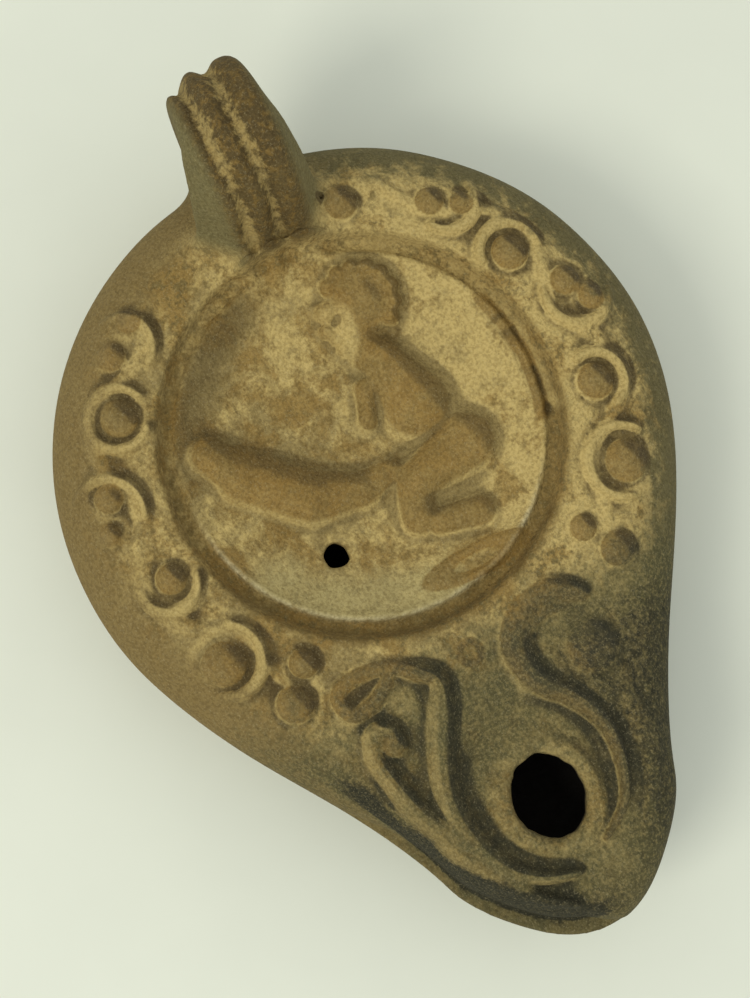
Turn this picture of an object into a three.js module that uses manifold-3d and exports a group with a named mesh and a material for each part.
// Roman mould-made clay oil lamp with a volute nozzle and a pierced, ribbed handle.
// Millimetres, +Z up, +X from the body axis towards the nozzle. The origin is the
// centre of the flat underside. The lamp is one hollow piece of fired clay.
import * as THREE from 'three';
import { mergeVertices } from 'three/addons/utils/BufferGeometryUtils.js';
import Module from 'manifold-3d';

// Plan outline
const bodyRadius = 39.5;
const bodyCentre = 0.6;
const flankStart = 72; // degrees from the nozzle axis, where the flank leaves the round body
const flankLead = 15;
const nozzleCentre = 50.6;
const nozzleRadius = 16.5;
const nozzleFlattening = 1.3;
const nozzleStart = 78; // degrees about the nozzle centre, where the flank ends
const nozzleLead = 15;

// Heights of the upper half
const discusShift = -1.2;
const dishFloor = 20.8;
const dishEdge = 24.3;
const dishRadius = 22.7;
const channelFloor = 23.6;
const rimRadius = 25.3;
const rimHeight = 26.6;
const shoulderSlope = 0.2;
const shoulderReach = 20; // distance beyond the rim at which the slope has levelled out
const edgeDrop = 7.2;
const edgeWidth = 7.5;

// Lower half
const baseRadius = 19.5;
const baseFoot = 0.9;
const baseGroove = { inner: 13.6, outer: 15.2, depth: 0.8 };
const nozzleLift = 1.5;

// Clay thickness and holes
const wallTop = 3.4;
const wallSide = 3.6;
const wallFloor = 4.2;
const wickHole = { x: 48.9, radiusX: 5.6, radiusY: 4.7 };
const fillHole = { x: 10.6, y: -9.4, radius: 1.45 };

// Handle, in the X-Z plane
const strapWidth = 10.8;
const strapThickness = 5.6;
const ribDepth = 0.9;
const flareFront = 4.5;
const flareBack = 3;
const strapShift = 1.6; // the handle was luted on a little to one side
const handleRoute = [[-26.5, 20], [-29.8, 29.5], [-33.6, 36.6], [-39.4, 40], [-45, 36.2], [-46, 28.5],
  [-41.5, 20], [-31.5, 12.5]];

// Relief: berries stand alternately inside and outside a waving vine
const berryStep = 40;
const innerBerry = { firstAngle: 37, count: 4, orbit: 29.4, radius: 2.2 };
const outerBerry = { firstAngle: 57, count: 3, orbit: 32.8, radius: 2.5 };
const vine = { from: 44, to: 160, orbit: 31.2, swing: 1.9, radius: 0.75 };
const voluteRoute = [[56.5, 8.6], [51.5, 11.9], [45.7, 11.9], [40, 9.6], [34, 6.9], [29.2, 4.6],
  [26, 8.2], [24.6, 14.4], [27, 17.8], [29.8, 15.2]];
const outerRoute = [[60.5, 9.6], [54.5, 13.9], [47, 16.6], [40, 18], [34.4, 17.6], [32.6, 15]];
const scrollBall = { x: 34.2, y: 14.1, radius: 2.3 };
const neckBoss = { x: 28.4, radius: 1.7 };
const voluteRadius = 1.1;
const reliefLift = 0.25;

// Figure on the discus as plain rounded masses: x, y, half length, half width, turn in degrees, height
const figureMasses = [
  [-16.6, 8.0, 3.9, 3.3, 0, 1.5],
  [-5.4, 8.0, 5.8, 3.6, 8, 1.7],
  [-4.8, 2.6, 3.6, 1.2, 20, 1.2],
  [4.6, 8.6, 5.8, 3.2, 80, 1.8],
  [7.4, 3.2, 4.6, 2.3, 60, 1.5],
  [11.6, 4.2, 3.4, 1.8, 15, 1.3],
  [13.4, 7.4, 3.2, 1.5, 80, 1.1],
  [19, 5.2, 4.4, 1.0, 84, 0.8],
  [2.2, -5.6, 9.6, 3.0, 58, 1.6],
  [-5.6, -15.6, 5.6, 3.5, 52, 1.9],
];

// Mesh fineness
const outlineColumns = 68;
const cavityColumns = 32;
const domeSides = 8;
const vineSteps = 27;
const strapStations = 18;

const radians = THREE.MathUtils.degToRad;
const mix = THREE.MathUtils.lerp;
const clamp = THREE.MathUtils.clamp;

function nozzlePoint(angle) {
  const reach = nozzleRadius - nozzleFlattening * Math.sin(2 * angle) ** 2;
  return new THREE.Vector2(nozzleCentre + reach * Math.cos(angle), reach * Math.sin(angle));
}

function bodyPoint(angle) {
  return new THREE.Vector2(bodyCentre + bodyRadius * Math.cos(angle), bodyRadius * Math.sin(angle));
}

// Half outline from the nozzle tip round the +Y side to the back of the body.
function halfOutline() {
  const start = radians(nozzleStart);
  const leave = radians(flankStart);
  const tip = Array.from({ length: 25 }, (_, i) => nozzlePoint((start * i) / 24));
  const end = nozzlePoint(start);
  const heading = nozzlePoint(start + 0.02).sub(nozzlePoint(start - 0.02)).normalize();
  const bodyEnd = bodyPoint(leave);
  const bodyHeading = new THREE.Vector2(Math.sin(leave), -Math.cos(leave));
  const flank = new THREE.CubicBezierCurve(
    end,
    end.clone().addScaledVector(heading, nozzleLead),
    bodyEnd.clone().addScaledVector(bodyHeading, flankLead),
    bodyEnd,
  );
  const round = Array.from({ length: 48 }, (_, i) => {
    return bodyPoint(mix(leave, Math.PI, (i + 1) / 48));
  });
  return [...tip, ...flank.getPoints(40).slice(1), ...round];
}

const halfPoints = halfOutline();
const halfAngles = halfPoints.map((point) => point.angle());

// Distance from the body axis to the outline, in one direction.
function outlineRadius(angle) {
  const folded = Math.abs(Math.atan2(Math.sin(angle), Math.cos(angle)));
  let index = halfAngles.findIndex((value) => value >= folded);
  if (index < 1) index = index === 0 ? 1 : halfAngles.length - 1;
  const low = halfAngles[index - 1];
  const share = clamp((folded - low) / (halfAngles[index] - low), 0, 1);
  return mix(halfPoints[index - 1].length(), halfPoints[index].length(), share);
}

// Directions that spread the columns evenly along the outline.
function columnAngles(count) {
  const reach = [0];
  for (let i = 1; i < halfPoints.length; i += 1) {
    reach.push(reach[i - 1] + halfPoints[i].distanceTo(halfPoints[i - 1]));
  }
  const half = count / 2;
  const angles = [];
  for (let k = 0; k <= half; k += 1) {
    const target = (reach.at(-1) * k) / half;
    const index = Math.max(1, reach.findIndex((value) => value >= target - 1e-9));
    const share = (target - reach[index - 1]) / (reach[index] - reach[index - 1]);
    angles.push(mix(halfAngles[index - 1], halfAngles[index], share));
  }
  const mirrored = angles.slice(1, half).reverse().map((angle) => -angle);
  return [...angles, ...mirrored];
}

// How far a direction belongs to the nozzle: 1 along its axis, 0 round the body.
function nozzleShare(angle) {
  return THREE.MathUtils.smoothstep(outlineRadius(angle), bodyRadius, nozzleCentre + nozzleRadius);
}

function seamHeight(angle) {
  return topPlane(outlineRadius(angle)) - edgeDrop + nozzleLift * nozzleShare(angle);
}

// Height of the shoulder and nozzle top before its rounded edge.
function topPlane(radius) {
  const beyond = clamp((radius - rimRadius) / shoulderReach, 0, 1);
  return rimHeight - shoulderSlope * shoulderReach * (beyond - beyond * beyond / 2);
}

// Upper surface without relief.
function topHeight(x, y) {
  const fromDiscus = Math.hypot(x - discusShift, y);
  if (fromDiscus < dishRadius) return mix(dishFloor, dishEdge, (fromDiscus / dishRadius) ** 2);
  if (fromDiscus < rimRadius) {
    const share = (fromDiscus - dishRadius) / (rimRadius - dishRadius);
    if (share < 0.35) return mix(dishEdge, channelFloor, share / 0.35);
    return mix(channelFloor, rimHeight, (share - 0.35) / 0.65);
  }
  const angle = Math.atan2(y, x);
  const radius = Math.hypot(x, y);
  const inset = clamp(1 - (outlineRadius(angle) - radius) / edgeWidth, 0, 1);
  const fall = topPlane(outlineRadius(angle)) - seamHeight(angle);
  return topPlane(radius) - fall * (1 - Math.sqrt(1 - inset * inset));
}

// Underside of the bowl and of the nozzle; reach is 0 at the foot and 1 on the outline.
function bowlHeight(reach, angle) {
  const steep = mix(2.1, 1.35, nozzleShare(angle));
  const foot = baseFoot;
  return foot + (seamHeight(angle) - foot) * (1 - Math.sqrt(1 - clamp(reach, 0, 1) ** steep));
}

// Closed body from a ring of columns, each a list of points from the top centre to the base centre.
function closedColumns(columns) {
  const rows = columns[0].length;
  const positions = [];
  const faces = [];
  columns.forEach((column) => column.slice(1, -1).forEach((p) => positions.push(p.x, p.y, p.z)));
  const inner = rows - 2;
  const top = columns.length * inner;
  [columns[0][0], columns[0][rows - 1]].forEach((p) => positions.push(p.x, p.y, p.z));
  columns.forEach((_, i) => {
    const a = i * inner;
    const b = ((i + 1) % columns.length) * inner;
    faces.push(top, a, b);
    for (let k = 0; k < inner - 1; k += 1) {
      faces.push(a + k, a + k + 1, b + k, b + k, a + k + 1, b + k + 1);
    }
    faces.push(top + 1, b + inner - 1, a + inner - 1);
  });
  const geometry = new THREE.BufferGeometry();
  geometry.setAttribute('position', new THREE.Float32BufferAttribute(positions, 3));
  geometry.setIndex(faces);
  return geometry;
}

function outerColumn(angle) {
  const direction = new THREE.Vector2(Math.cos(angle), Math.sin(angle));
  const reach = outlineRadius(angle);
  const at = (radius, z) => new THREE.Vector3(direction.x * radius, direction.y * radius, z);
  // distance from the body axis to a circle round the discus centre
  const toCircle = (radius) => discusShift * direction.x
    + Math.sqrt(radius * radius - (discusShift * direction.y) ** 2);
  const channel = mix(dishRadius, rimRadius, 0.35);
  const column = [at(0, topHeight(0, 0))];
  [7, 14, 19, dishRadius, channel, rimRadius].map(toCircle).forEach((radius) => {
    column.push(at(radius, topHeight(direction.x * radius, direction.y * radius)));
  });
  const rim = toCircle(rimRadius);
  const edge = reach - edgeWidth;
  [0.25, 0.5, 0.75, 1].forEach((share) => {
    const radius = mix(rim, edge, share);
    column.push(at(radius, topHeight(direction.x * radius, direction.y * radius)));
  });
  [38, 64, 90].forEach((turn) => {
    const radius = edge + edgeWidth * Math.sin(radians(turn));
    column.push(at(radius, topHeight(direction.x * radius, direction.y * radius)));
  });
  [0.97, 0.88, 0.72, 0.48, 0.22, 0].forEach((share) => {
    column.push(at(mix(baseRadius, reach, share), bowlHeight(share, angle)));
  });
  column.push(at(baseRadius - 0.5, 0));
  column.push(at(baseGroove.outer, 0));
  column.push(at((baseGroove.outer + baseGroove.inner) / 2, baseGroove.depth));
  column.push(at(baseGroove.inner, 0));
  column.push(at(0, 0));
  return column;
}

// Oil chamber and its passage into the nozzle, set in from the outer surface by the clay thickness.
function cavityColumn(angle) {
  const direction = new THREE.Vector2(Math.cos(angle), Math.sin(angle));
  const reach = outlineRadius(angle) - wallSide;
  const at = (radius, z) => new THREE.Vector3(direction.x * radius, direction.y * radius, z);
  const middle = seamHeight(angle);
  const ceiling = (radius) => {
    const inset = clamp(1 - (reach - radius) / edgeWidth, 0, 1);
    const outer = Math.min(topHeight(direction.x * radius, direction.y * radius), topPlane(radius));
    const level = Math.min(outer, radius < rimRadius + 2 ? channelFloor : outer) - wallTop;
    return mix(level, middle, 1 - Math.sqrt(1 - inset * inset));
  };
  const column = [at(0, ceiling(0))];
  [0.3, 0.5, 0.66, 0.78, 0.88, 0.95].forEach((share) => {
    column.push(at(reach * share, ceiling(reach * share)));
  });
  column.push(at(reach, middle));
  [0.94, 0.8, 0.6, 0.35].forEach((share) => {
    const floor = bowlHeight(share, angle) + wallFloor * (1 - share ** 4);
    column.push(at(mix(baseRadius - 3, reach, share), floor));
  });
  column.push(at(baseRadius - 3, baseFoot + wallFloor));
  column.push(at(0, wallFloor));
  return column;
}

// Closed tube from a list of stations, each a ring of points, with a flat fan at each end.
function sweep(stations) {
  const sides = stations[0].length;
  const rings = stations.flat();
  const faces = [];
  for (let i = 0; i < stations.length - 1; i += 1) {
    for (let k = 0; k < sides; k += 1) {
      const a = i * sides + k;
      const b = i * sides + ((k + 1) % sides);
      faces.push(a, b, a + sides, b, b + sides, a + sides);
    }
  }
  const ends = [stations[0], stations.at(-1)].map((ring) => {
    const centre = new THREE.Vector3();
    ring.forEach((point) => centre.addScaledVector(point, 1 / sides));
    return centre;
  });
  const last = (stations.length - 1) * sides;
  for (let k = 0; k < sides; k += 1) {
    const next = (k + 1) % sides;
    faces.push(rings.length, next, k);
    faces.push(rings.length + 1, last + k, last + next);
  }
  const geometry = new THREE.BufferGeometry();
  const positions = [...rings, ...ends].flatMap((p) => [p.x, p.y, p.z]);
  geometry.setAttribute('position', new THREE.Float32BufferAttribute(positions, 3));
  geometry.setIndex(faces);
  return geometry;
}

// Strap handle: three ribs on its outer side, flared where it grows out of the body.
function handle() {
  const route = new THREE.CatmullRomCurve3(handleRoute.map(([x, z]) => new THREE.Vector3(x, 0, z)));
  const outer = [-1, -0.72, -0.36, 0, 0.36, 0.72, 1];
  const ribs = [-0.35, 0.5, -0.9, 0.5, -0.9, 0.5, -0.35];
  const stations = Array.from({ length: strapStations }, (_, i) => {
    const along = i / (strapStations - 1);
    const centre = route.getPoint(along);
    const tangent = route.getTangent(along);
    const normal = new THREE.Vector3(-tangent.z, 0, tangent.x);
    const flare = flareFront * clamp(1 - along / 0.35, 0, 1) ** 2
      + flareBack * clamp((along - 0.7) / 0.3, 0, 1) ** 2;
    const half = strapWidth / 2 + flare;
    const thick = strapThickness / 2;
    const place = (y, n) => centre.clone().addScaledVector(normal, n).setY(y + strapShift);
    const front = outer.map((share, k) => place(share * half, thick + ribs[k] * ribDepth));
    const back = [0.8, 0, -0.8].map((share) => place(share * half, -thick));
    return [...front, place(half, 0), ...back, place(-half, 0)];
  });
  return sweep(stations);
}

// Point of the relief's centre line, resting on the upper surface.
function onTop(x, y, lift = 0) {
  return new THREE.Vector3(x, y, topHeight(x, y) + lift);
}

function ridge(points, radius, steps) {
  const sides = 5;
  const curve = new THREE.CatmullRomCurve3(points);
  const up = new THREE.Vector3(0, 0, 1);
  const stations = Array.from({ length: steps + 1 }, (_, i) => {
    const along = curve.getTangent(i / steps);
    const flat = curve.getPoint(i / steps);
    const centre = onTop(flat.x, flat.y, reliefLift);
    const side = new THREE.Vector3().crossVectors(along, up).normalize();
    return Array.from({ length: sides }, (__, k) => {
      const turn = Math.PI * (0.5 + (2 * k) / sides);
      const across = radius * Math.cos(turn);
      return centre.clone().addScaledVector(side, across).addScaledVector(up, radius * Math.sin(turn));
    });
  });
  return sweep(stations);
}

function dome(x, y, length, width, height, turn = 0) {
  const geometry = new THREE.SphereGeometry(1, domeSides, 4);
  geometry.rotateX(Math.PI / 2);
  geometry.scale(length, width, height);
  geometry.rotateZ(radians(turn));
  geometry.translate(x, y, topHeight(x, y) + reliefLift);
  return geometry;
}

function polar(angle, orbit) {
  const turn = radians(angle);
  return [discusShift + orbit * Math.cos(turn), orbit * Math.sin(turn)];
}

// Vine wreath on one side of the shoulder; side is +1 or -1.
function wreath(side) {
  const pieces = [];
  [innerBerry, outerBerry].forEach(({ firstAngle, count, orbit, radius }) => {
    for (let k = 0; k < count; k += 1) {
      const [x, y] = polar(side * (firstAngle + k * berryStep), orbit);
      const nearHandle = firstAngle + k * berryStep > 150;
      if (!nearHandle) pieces.push(dome(x, y, radius, radius, radius * 0.62));
    }
  });
  const points = [];
  for (let angle = vine.from; angle <= vine.to; angle += berryStep / 4) {
    const wave = Math.cos(radians(((angle - innerBerry.firstAngle) * 360) / berryStep));
    points.push(onTop(...polar(side * angle, vine.orbit + vine.swing * wave)));
  }
  pieces.push(ridge(points, vine.radius, vineSteps));
  return pieces;
}

function volutes(side) {
  const mirrored = (route) => route.map(([x, y]) => onTop(x, side * y));
  return [
    ridge(mirrored(voluteRoute), voluteRadius, 22),
    ridge(mirrored(outerRoute), voluteRadius, 13),
    dome(scrollBall.x, side * scrollBall.y, scrollBall.radius, scrollBall.radius, 1.5),
  ];
}

function wickRim() {
  const rim = new THREE.TorusGeometry(1, 0.18, 5, 22);
  rim.scale(wickHole.radiusX + 2.6, wickHole.radiusY + 2.6, 3.4);
  rim.translate(wickHole.x, 0, topHeight(wickHole.x, 0) - 0.15);
  return rim;
}

function shaft(x, y, radiusX, radiusY, bottom, top, sides) {
  const geometry = new THREE.CylinderGeometry(1, 1, top - bottom, sides);
  geometry.rotateX(Math.PI / 2);
  geometry.scale(radiusX, radiusY, 1);
  geometry.translate(x, y, (top + bottom) / 2);
  return geometry;
}

const wasm = await Module();
wasm.setup();

// Enclosed volume; it is negative when the faces point inward.
function signedVolume(positions, index) {
  const [a, b, c] = [new THREE.Vector3(), new THREE.Vector3(), new THREE.Vector3()];
  let volume = 0;
  for (let i = 0; i < index.length; i += 3) {
    a.fromArray(positions, index[i] * 3);
    b.fromArray(positions, index[i + 1] * 3);
    c.fromArray(positions, index[i + 2] * 3);
    volume += a.dot(b.cross(c)) / 6;
  }
  return volume;
}

function solid(geometry) {
  geometry.deleteAttribute('normal');
  geometry.deleteAttribute('uv');
  const merged = mergeVertices(geometry, 1e-5);
  const vertProperties = new Float32Array(merged.attributes.position.array);
  const triVerts = new Uint32Array(merged.index.array);
  if (signedVolume(vertProperties, triVerts) < 0) {
    for (let i = 0; i < triVerts.length; i += 3) {
      [triVerts[i + 1], triVerts[i + 2]] = [triVerts[i + 2], triVerts[i + 1]];
    }
  }
  return new wasm.Manifold(new wasm.Mesh({ numProp: 3, vertProperties, triVerts }));
}

function lampSolid() {
  let lamp = solid(closedColumns(columnAngles(outlineColumns).map(outerColumn)));
  const relief = [
    handle(),
    wickRim(),
    ...wreath(1),
    ...wreath(-1),
    ...volutes(1),
    ...volutes(-1),
    dome(neckBoss.x, 0, neckBoss.radius, neckBoss.radius, 1.1),
    ...figureMasses.map(([x, y, long, wide, turn, high]) => (
      dome(x + discusShift, y, long, wide, high, turn))),
  ];
  relief.forEach((piece) => {
    lamp = lamp.add(solid(piece));
  });
  const cutters = [
    closedColumns(columnAngles(cavityColumns).map(cavityColumn)),
    shaft(wickHole.x, 0, wickHole.radiusX, wickHole.radiusY, seamHeight(0), rimHeight, 24),
    shaft(fillHole.x, fillHole.y, fillHole.radius, fillHole.radius, wallFloor + 4, rimHeight, 12),
  ];
  cutters.forEach((cutter) => {
    lamp = lamp.subtract(solid(cutter));
  });
  return lamp.getMesh();
}

const made = lampSolid();
const surface = new THREE.BufferGeometry();
surface.setAttribute('position', new THREE.BufferAttribute(made.vertProperties, made.numProp));
surface.setIndex(new THREE.BufferAttribute(made.triVerts, 1));

const clay = new THREE.MeshStandardMaterial({ color: 0x857550, roughness: 0.82, metalness: 0 });
const lamp = new THREE.Mesh(surface, clay);
lamp.name = 'lamp';

const group = new THREE.Group();
group.add(lamp);

export default group;
